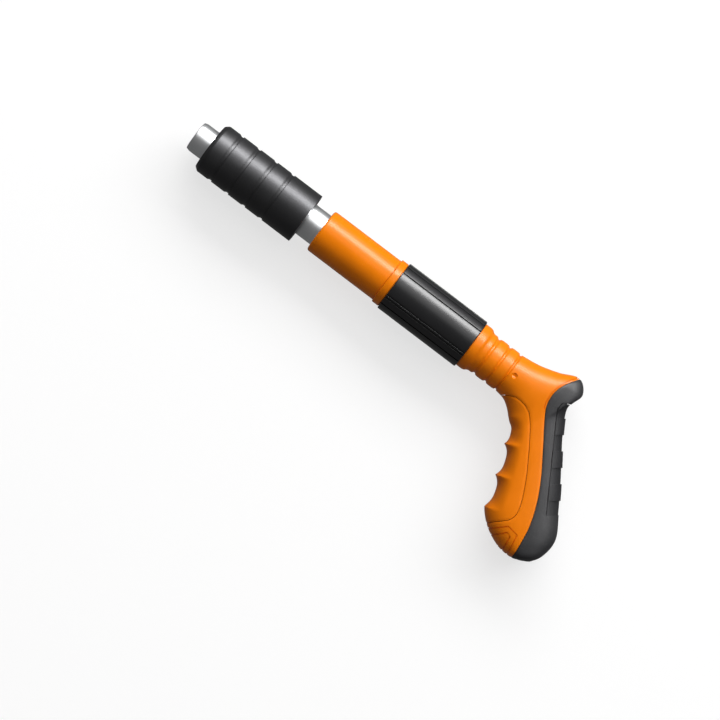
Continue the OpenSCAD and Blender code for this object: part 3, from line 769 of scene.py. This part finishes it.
def envelope():
    """The whole handle as one closed form: a flat grid whose rows become rings."""
    rings = [ring_points(r) for r in neck_rings() + handle_rings()]
    last = rings[-1]
    middle = last.mean(0)
    chord = last[0] - last[COLUMNS // 2]
    outwards = np.array([chord[1], -chord[0], 0]) / np.linalg.norm(chord[:2])
    for share in BUTT_SHARES:
        turn_on = share * math.pi / 2
        rings.append(middle + (last - middle) * math.cos(turn_on)
                     + outwards * BUTT_BULGE * math.sin(turn_on))
    table = np.array(rings)
    deselect()
    bpy.ops.mesh.primitive_grid_add(x_subdivisions=COLUMNS,
                                    y_subdivisions=len(rings) - 1, size=2)
    obj = named("handle_envelope")
    flat = np.zeros(len(obj.data.vertices) * 3)
    obj.data.vertices.foreach_get("co", flat)
    flat = flat.reshape(-1, 3)
    column = np.rint((flat[:, 0] + 1) / 2 * COLUMNS).astype(int)
    row = np.rint((flat[:, 1] + 1) / 2 * (len(rings) - 1)).astype(int)
    points = table[row, column] * MM + np.array(MUZZLE)
    obj.data.vertices.foreach_set("co", points.ravel())
    obj.data.update()
    edit(obj)
    bpy.ops.mesh.remove_doubles(threshold=MERGE)
    bpy.ops.mesh.fill_holes(sides=0)
    leave()
    close_up(obj)
    return obj


def ease_crease(obj):
    """Smooths the flanks below the horn, where the ribs close up."""
    edit(obj, "DESELECT")
    leave()
    for vertex in obj.data.vertices:
        x, y, z = (vertex.co - MUZZLE) / MM
        near = math.dist((x, y), CREASE) < CREASE_REACH
        vertex.select = near and abs(z) > CREASE_CORE
    edit(obj, None)
    bpy.ops.mesh.vertices_smooth(factor=0.5, repeat=CREASE_PASSES)
    leave()


def press_in(obj, depth_at):
    """Moves each vertex inwards by what depth_at gives for its (x, y, z)."""
    count = len(obj.data.vertices)
    flat, normal = np.zeros(count * 3), np.zeros(count * 3)
    obj.data.vertices.foreach_get("co", flat)
    obj.data.vertex_normals.foreach_get("vector", normal)
    flat, normal = flat.reshape(-1, 3), normal.reshape(-1, 3)
    points = (flat - np.array(MUZZLE)) / MM
    moved = flat - normal * depth_at(points)[:, None] * MM
    obj.data.vertices.foreach_set("co", moved.ravel())
    obj.data.update()


def finger_hollows(points):
    """Depth of the hollows between the finger ridges."""
    reach = bpy.context.scene.tool_sizes.finger_reach / MM
    depth = np.zeros(len(points))
    for i, most in enumerate(FINGER_DEPTHS):
        a, b = np.array(FINGER_RIDGES[i]), np.array(FINGER_RIDGES[i + 1])
        length = np.linalg.norm(b - a)
        along = (b - a) / length
        inwards = np.array([-along[1], along[0]])
        share = (points[:, :2] - a) @ along / length
        inside = np.clip((points[:, :2] - a) @ inwards / reach, 0, 1)
        fade = (1 - inside) ** 2 * (1 + 2 * inside)
        bowl = np.where((share > 0) & (share < 1), 1 - np.abs(2 * share - 1) ** 3, 0)
        if i == 0:
            # The first hollow begins without a ridge
            soft = np.clip(2 * share, 0, 1)
            bowl = np.where(share < 0.5, soft ** 2 * (3 - 2 * soft), bowl)
        depth += most * bowl * fade
    return depth


def seam_dip(lines):
    """Depth of the shallow dips beside the seams."""
    sizes = bpy.context.scene.tool_sizes
    depth, width = sizes.seam_valley / MM, sizes.seam_width / MM

    def depth_at(points):
        total = np.zeros(len(points))
        for line in lines:
            near = np.clip(distance_to(points[:, :2], line) / width, 0, 1)
            total = np.maximum(total, depth * (1 - near ** 2) ** 2)
        return np.where(points[:, 0] > HANDLE_X + 4, total, 0)
    return depth_at


def wall_along(line, half):
    """Outline of a thin wall along a line."""
    line = np.asarray(line, float)
    return [*map(tuple, offset(line, half)), *map(tuple, offset(line, -half)[::-1])]


def tongue(line, play=0.0):
    """A wall inside the handle that a seam's two sides meet on."""
    reach = TONGUE_REACH + play
    return prism("tongue", wall_along(line, TONGUE_HALF + play), -reach, reach)


def region(name, line, grow, corners):
    """All of the handle on one side of a line, up to some corners beyond it."""
    return prism(name, [*map(tuple, offset(line, grow)), *corners])


class TOOL_OT_handle(bpy.types.Operator):
    """Forms the handle's shells, finger grip, backstrap and palm pad"""

    bl_idname = "tool.handle"
    bl_label = "Handle"

    def execute(self, context):
        sizes = context.scene.tool_sizes
        gap, finger_gap, step, cut_depth = [v / MM for v in (
            sizes.seam_gap / 2, sizes.finger_gap / 2, sizes.pad_step, sizes.engraving)]
        form = envelope()
        ease_crease(form)
        strap_edge = curve_through(STRAP_LINE)
        finger_edge = curve_through(FINGER_LINE)
        press_in(form, finger_hollows)
        press_in(form, seam_dip([strap_edge, finger_edge]))

        # Backstrap, with room for the palm pad
        strap = twin(form, "backstrap_moulded")
        carve(strap, region("strap_tool", strap_edge, gap, STRAP_CORNERS), "INTERSECT")
        pad_edge = curve_through(PAD_EDGE, 6)
        carve(strap, region("pad_room", pad_edge, -gap, PAD_CORNERS))
        carve(strap, tongue(strap_edge[STRAP_TONGUE], TONGUE_PLAY))
        carve(strap, tongue(pad_edge[PAD_TONGUE]), "UNION")
        done(strap, "body", "strap_rubber", "backstrap")

        # Palm pad: a sunk base with raised blocks
        pad = twin(form, "palm_pad_moulded", -PAD_SINK * step)
        carve(pad, region("pad_tool", pad_edge, gap, PAD_CORNERS), "INTERSECT")
        top, bottom = np.array(PAD_LINE)
        along = (bottom - top) / PAD_BLOCKS
        inwards = np.array([along[1], -along[0]]) / np.linalg.norm(along)
        for i in range(0, PAD_BLOCKS, 2):
            block = twin(form, "pad_block", step)
            a, b = top + along * i, top + along * (i + 1)
            carve(block, prism("block_tool", [
                tuple(a - inwards * BLOCK_OUT), tuple(a + inwards * BLOCK_IN),
                tuple(b + inwards * BLOCK_IN), tuple(b - inwards * BLOCK_OUT)]),
                "INTERSECT")
            carve(block, region("block_edge", pad_edge, gap, PAD_CORNERS), "INTERSECT")
            carve(pad, block, "UNION")
        carve(pad, tongue(pad_edge[PAD_TONGUE], TONGUE_PLAY))
        done(pad, "body", "pad_rubber", "palm_pad")

        # Finger grip
        tube_room = turn("tube_room", [
            (NECK_X - 1, TUBE_ROOM), (NECK_X + 4, TUBE_ROOM), (NECK_X + 4, FLANGE_ROOM),
            (NECK_X + 8, FLANGE_ROOM), (NECK_X + 8, TUBE_ROOM), (TUBE_END, TUBE_ROOM)],
            hollow=False)
        finger = twin(form, "finger_grip_moulded")
        carve(finger, region("finger_tool", finger_edge, -finger_gap, FINGER_CORNERS),
              "INTERSECT")
        carve(finger, tongue(finger_edge[FINGER_TONGUE], TONGUE_PLAY))
        carve(finger, tube_room, keep_tool=True)
        done(finger, "body", "orange_plastic", "finger_grip")

        # Shells: what is left, with its engraved butt and a dimple on each side
        shell = twin(form, "handle_shell")
        carve(shell, region("strap_room", strap_edge, -gap, STRAP_CORNERS))
        carve(shell, region("finger_room", finger_edge, finger_gap, FINGER_CORNERS))
        carve(shell, tongue(strap_edge[STRAP_TONGUE]), "UNION")
        carve(shell, tongue(finger_edge[FINGER_TONGUE]), "UNION")
        carve(shell, tube_room)
        engraving_floor = twin(form, "engraving_floor", -cut_depth)
        lip = offset(strap_edge, -LIP_IN)[:LIP_POINTS]
        for line in (*CHEVRONS, lip):
            groove = prism("groove", wall_along(line, LINE_HALF))
            carve(groove, engraving_floor, keep_tool=True)
            carve(shell, groove)
        for spot in map(Vector, NOTCHES):
            outwards = (spot - Vector(NOTCH_CENTRE)).normalized()
            carve(shell, turn("notch", [(-NOTCH_REACH, NOTCH_R), (NOTCH_REACH, NOTCH_R)],
                              "Z", spot + outwards * NOTCH_OUT, HOLE_SIDES,
                              hollow=False))
        for side in (1, -1):
            deselect()
            bpy.ops.mesh.primitive_uv_sphere_add(
                segments=32, ring_count=16, radius=DIMPLE_R * MM,
                location=place(*DIMPLE, side * DIMPLE_Z))
            carve(shell, named("dimple_tool"))
        halves = {}
        for name, low, high in (("left", SEAM, REACH), ("right", -REACH, -SEAM)):
            halves[name] = twin(shell, f"handle_shell_{name}_moulded")
            carve(halves[name], prism("half_tool", [
                (230, -120), (400, -120), (400, 60), (230, 60)], low, high), "INTERSECT")
        for spare in (engraving_floor, shell, form):
            bpy.data.objects.remove(spare)
        for spot in SCREW_SPOTS:
            for name, stations in (
                    ("right", [(-REACH, HEAD_ROOM), (HEAD_Z, HEAD_ROOM),
                               (HEAD_Z, SCREW_HOLE), (-0.02, SCREW_HOLE)]),
                    ("left", [(-1, SCREW_HOLE), (10, SCREW_HOLE)])):
                carve(halves[name], turn("screw_room", stations, "Z", spot,
                                         SCREW_SIDES, hollow=False))
        for name, half in halves.items():
            done(half, "body", "orange_plastic", f"handle_shell_{name}")
        return {"FINISHED"}


class TOOL_OT_screws(bpy.types.Operator):
    """Turns the three screws that close the shells"""

    bl_idname = "tool.screws"
    bl_label = "Screws"

    def execute(self, context):
        screws = []
        for spot in SCREW_SPOTS:
            screw = turn("screw", [
                (HEAD_Z - 2.4, 2.7), (HEAD_Z - 2.1, 3.0), (HEAD_Z, 3.0), (HEAD_Z, 1.5),
                (8.6, 1.5), (9.0, 1.1)], "Z", spot, SCREW_SIDES, hollow=False)
            round_edges(screw, 0.1, 2)
            carve(screw, turn("socket", [(-14, 1.5), (-11.6, 1.5)], "Z", spot,
                              SOCKET_SIDES, hollow=False))
            screws.append(screw)
        done(join(screws, "handle_screws_turned"), "body", "tool_steel", "handle_screws")
        return {"FINISHED"}


# ---- Springs ----


# Node, body, joint, axis, mean radius, wire radius, turns, stroke, end that stays
SPRINGS = (
    ("return_spring", "body", "barrel_press", "X", 13.75, 0.75, 5, 12.0, "high"),
    ("main_spring", "body", "striker_cock", "X", 7.0, 0.9, 8, 12.0, "high"),
    ("pin_return_spring", "barrel", "pin_strike", "X", 4.6, 0.5, 5, 1.5, "low"),
    ("sear_spring", "striker", "sear_shift", "Y", 0.85, 0.22, 5, 2.4, "low"),
)
SPRING_SMOOTH = 60


def wind(name, length, mean, wire, turns, centre, axis="X"):
    """Winds a spring: a ring of wire swept round the axis by a screw."""
    deselect()
    along_x = axis == "X"
    bpy.ops.mesh.primitive_circle_add(
        vertices=12, radius=wire * MM,
        location=(wire * MM, 0, mean * MM) if along_x else (mean * MM, wire * MM, 0),
        rotation=(math.pi / 2, 0, 0) if along_x else (0, 0, 0))
    spring = named(name)
    sweep = spring.modifiers.new("wind", "SCREW")
    sweep.axis = axis
    sweep.angle = 2 * math.pi
    sweep.iterations = turns
    sweep.steps = sweep.render_steps = 36
    sweep.screw_offset = (length - 2 * wire) / turns * MM
    only(spring)
    bpy.ops.object.modifier_apply(modifier=sweep.name)
    spring.location = centre
    bpy.ops.object.transform_apply(location=True, rotation=True, scale=True)
    edit(spring)
    bpy.ops.mesh.fill_holes(sides=0)
    leave()
    close_up(spring)
    return spring


class TOOL_OT_springs(bpy.types.Operator):
    """Winds the four springs and hangs each on its body"""

    bl_idname = "tool.springs"
    bl_label = "Springs"

    def execute(self, context):
        for node, body, joint, axis, mean, wire, turns, stroke, fixed in SPRINGS:
            low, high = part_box(node)
            i = "XYZ".index(axis)
            length = high[i] - low[i]
            centre = ((low.x, MUZZLE.y, MUZZLE.z) if axis == "X"
                      else ((low.x + high.x) / 2, low.y, MUZZLE.z))
            spring = wind(node + "_wound", length / MM, mean, wire, turns, centre, axis)
            done(spring, body, "spring_steel", node, angle=SPRING_SMOOTH)
            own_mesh(spring)
        return {"FINISHED"}


# ---- Pieces that keep the frame's own shape ----

CAD_FINISHES = {
    "magnet": ["nozzle_magnet"],
    "tool_steel": ["breech_disc", "muffler_liner", "muffler_baffles", "barrel_stop_ring",
                   "pin_retainer", "firing_pin", "striker", "sear", "receiver_tube",
                   "spring_tube", "release_ramp", "spring_guide", "rear_plug"],
    "bronze": ["pin_guides", "front_bush", "rear_guide"],
    "seal_rubber": ["muffler_o_rings", "wiper_ring"],
    "bumper_polymer": ["barrel_bumper", "striker_buffer"],
}


class TOOL_OT_inner_pieces(bpy.types.Operator):
    """Gives the inner pieces their finishes"""

    bl_idname = "tool.inner_pieces"
    bl_label = "Inner pieces"

    def execute(self, context):
        for kind, nodes in CAD_FINISHES.items():
            for node in nodes:
                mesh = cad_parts[node].data
                mesh.materials.clear()
                mesh.materials.append(finish_of(kind))
        return {"FINISHED"}


# ---- Stage ----


# Soft lights: direction, distance, width, height and the name of their power
LIGHTS = {
    "strip": ((0, 0.843, 0.538), 3.0, 5.0, 1.2, "strip_power"),
    "gloss_strip": ((0, 0.843, 0.538), 2.95, 5.0, 1.2, "gloss_power"),
    "light_wall": ((0, 0.776, 0.631), 3.1, 6.0, 5.0, "wall_power"),
}
LIGHT_TARGET, CAMERA_TARGET = (186.7, -40, 0), (186.7, -55.8, 0)
FLOOR_SIZE, FLOOR_Z, BACKDROP_RADIUS = 8, -0.0005, 3.9
SENSOR = 36


def softbox(name, direction, distance, wide, tall, power):
    """A large rectangular light that looks at the tool."""
    deselect()
    direction = Vector(direction).normalized()
    bpy.ops.object.light_add(type="AREA",
                             location=place(*LIGHT_TARGET) + direction * distance)
    light = bpy.context.object
    light.name = name
    light.data.shape = "RECTANGLE"
    light.data.size, light.data.size_y = wide, tall
    light.data.energy = power
    light.visible_camera = False
    light.rotation_euler = (-direction).to_track_quat("-Z", "Y").to_euler()
    return light


def paper(stage):
    """Pale matt paper that glows, so that it stays even where nothing lights it."""
    material = bpy.data.materials.new("pale_paper")
    material.use_nodes = True
    inputs = material.node_tree.nodes["Principled BSDF"].inputs
    inputs["Base Color"].default_value = (*[stage.paper_shade] * 3, 1)
    inputs["Roughness"].default_value = 1.0
    inputs["Emission Color"].default_value = (1, 1, 1, 1)
    inputs["Emission Strength"].default_value = stage.paper_glow
    return material


class TOOL_OT_stage(bpy.types.Operator):
    """Sets the floor, the lights and the camera"""

    bl_idname = "tool.stage"
    bl_label = "Stage"

    def execute(self, context):
        stage = context.scene.tool_stage
        deselect()
        bpy.ops.mesh.primitive_grid_add(x_subdivisions=8, y_subdivisions=8,
                                        size=FLOOR_SIZE, location=(0, 0, FLOOR_Z))
        floor = named("floor")
        bpy.ops.mesh.primitive_uv_sphere_add(segments=64, ring_count=32,
                                             radius=BACKDROP_RADIUS)
        bpy.ops.object.shade_smooth()
        backdrop = named("backdrop")
        backdrop.visible_shadow = False
        pale = paper(stage)
        for sheet in (floor, backdrop):
            sheet.data.materials.append(pale)
            # The paper throws no light on the tool, whose underside stays dark
            sheet.visible_diffuse = sheet.visible_glossy = False
        world = bpy.data.worlds.new("studio")
        context.scene.world = world
        world.use_nodes = True
        background = world.node_tree.nodes["Background"].inputs
        background["Color"].default_value = (1, 1, 1, 1)
        background["Strength"].default_value = stage.sky
        for name, (*shape, power) in LIGHTS.items():
            light = softbox(name, *shape, getattr(stage, power))
            # The gloss strip shows in reflections only
            light.visible_diffuse = name != "gloss_strip"
        spot = place(*CAMERA_TARGET)
        spot.z += stage.frame_width * stage.lens / SENSOR
        bpy.ops.object.camera_add(location=spot, rotation=(0, 0, stage.roll))
        camera = bpy.context.object
        camera.name = "camera"
        camera.data.lens = stage.lens
        camera.data.sensor_width = SENSOR
        context.scene.camera = camera
        context.scene.view_settings.view_transform = "Standard"
        return {"FINISHED"}


class TOOL_PT_panel(bpy.types.Panel):
    """Lists the tool's pieces and settings"""

    bl_idname = "TOOL_PT_panel"
    bl_label = "Fastening Tool"
    bl_space_type = "VIEW_3D"
    bl_region_type = "UI"
    bl_category = "Fastening Tool"

    def draw(self, context):
        for step in STEPS:
            self.layout.operator(step.bl_idname)
        for group in (context.scene.tool_sizes, context.scene.tool_finishes,
                      context.scene.tool_stage):
            for key in group.__annotations__:
                self.layout.prop(group, key)


STEPS = (TOOL_OT_barrel, TOOL_OT_muffler, TOOL_OT_sleeves, TOOL_OT_grip_sleeve,
         TOOL_OT_handle, TOOL_OT_screws, TOOL_OT_springs, TOOL_OT_inner_pieces,
         TOOL_OT_stage)
GROUPS = {"tool_sizes": ToolSizes, "tool_finishes": ToolFinishes,
          "tool_stage": ToolStage}


def register():
    for cls in (*GROUPS.values(), *STEPS, TOOL_PT_panel):
        bpy.utils.register_class(cls)
    for name, cls in GROUPS.items():
        setattr(bpy.types.Scene, name, PointerProperty(type=cls))


def unregister():
    for name in GROUPS:
        delattr(bpy.types.Scene, name)
    for cls in (TOOL_PT_panel, *reversed(STEPS), *reversed(GROUPS.values())):
        bpy.utils.unregister_class(cls)


def main():
    register()
    for step in STEPS:
        category, name = step.bl_idname.split(".")
        getattr(getattr(bpy.ops, category), name)()


if __name__ == "__main__":
    main()
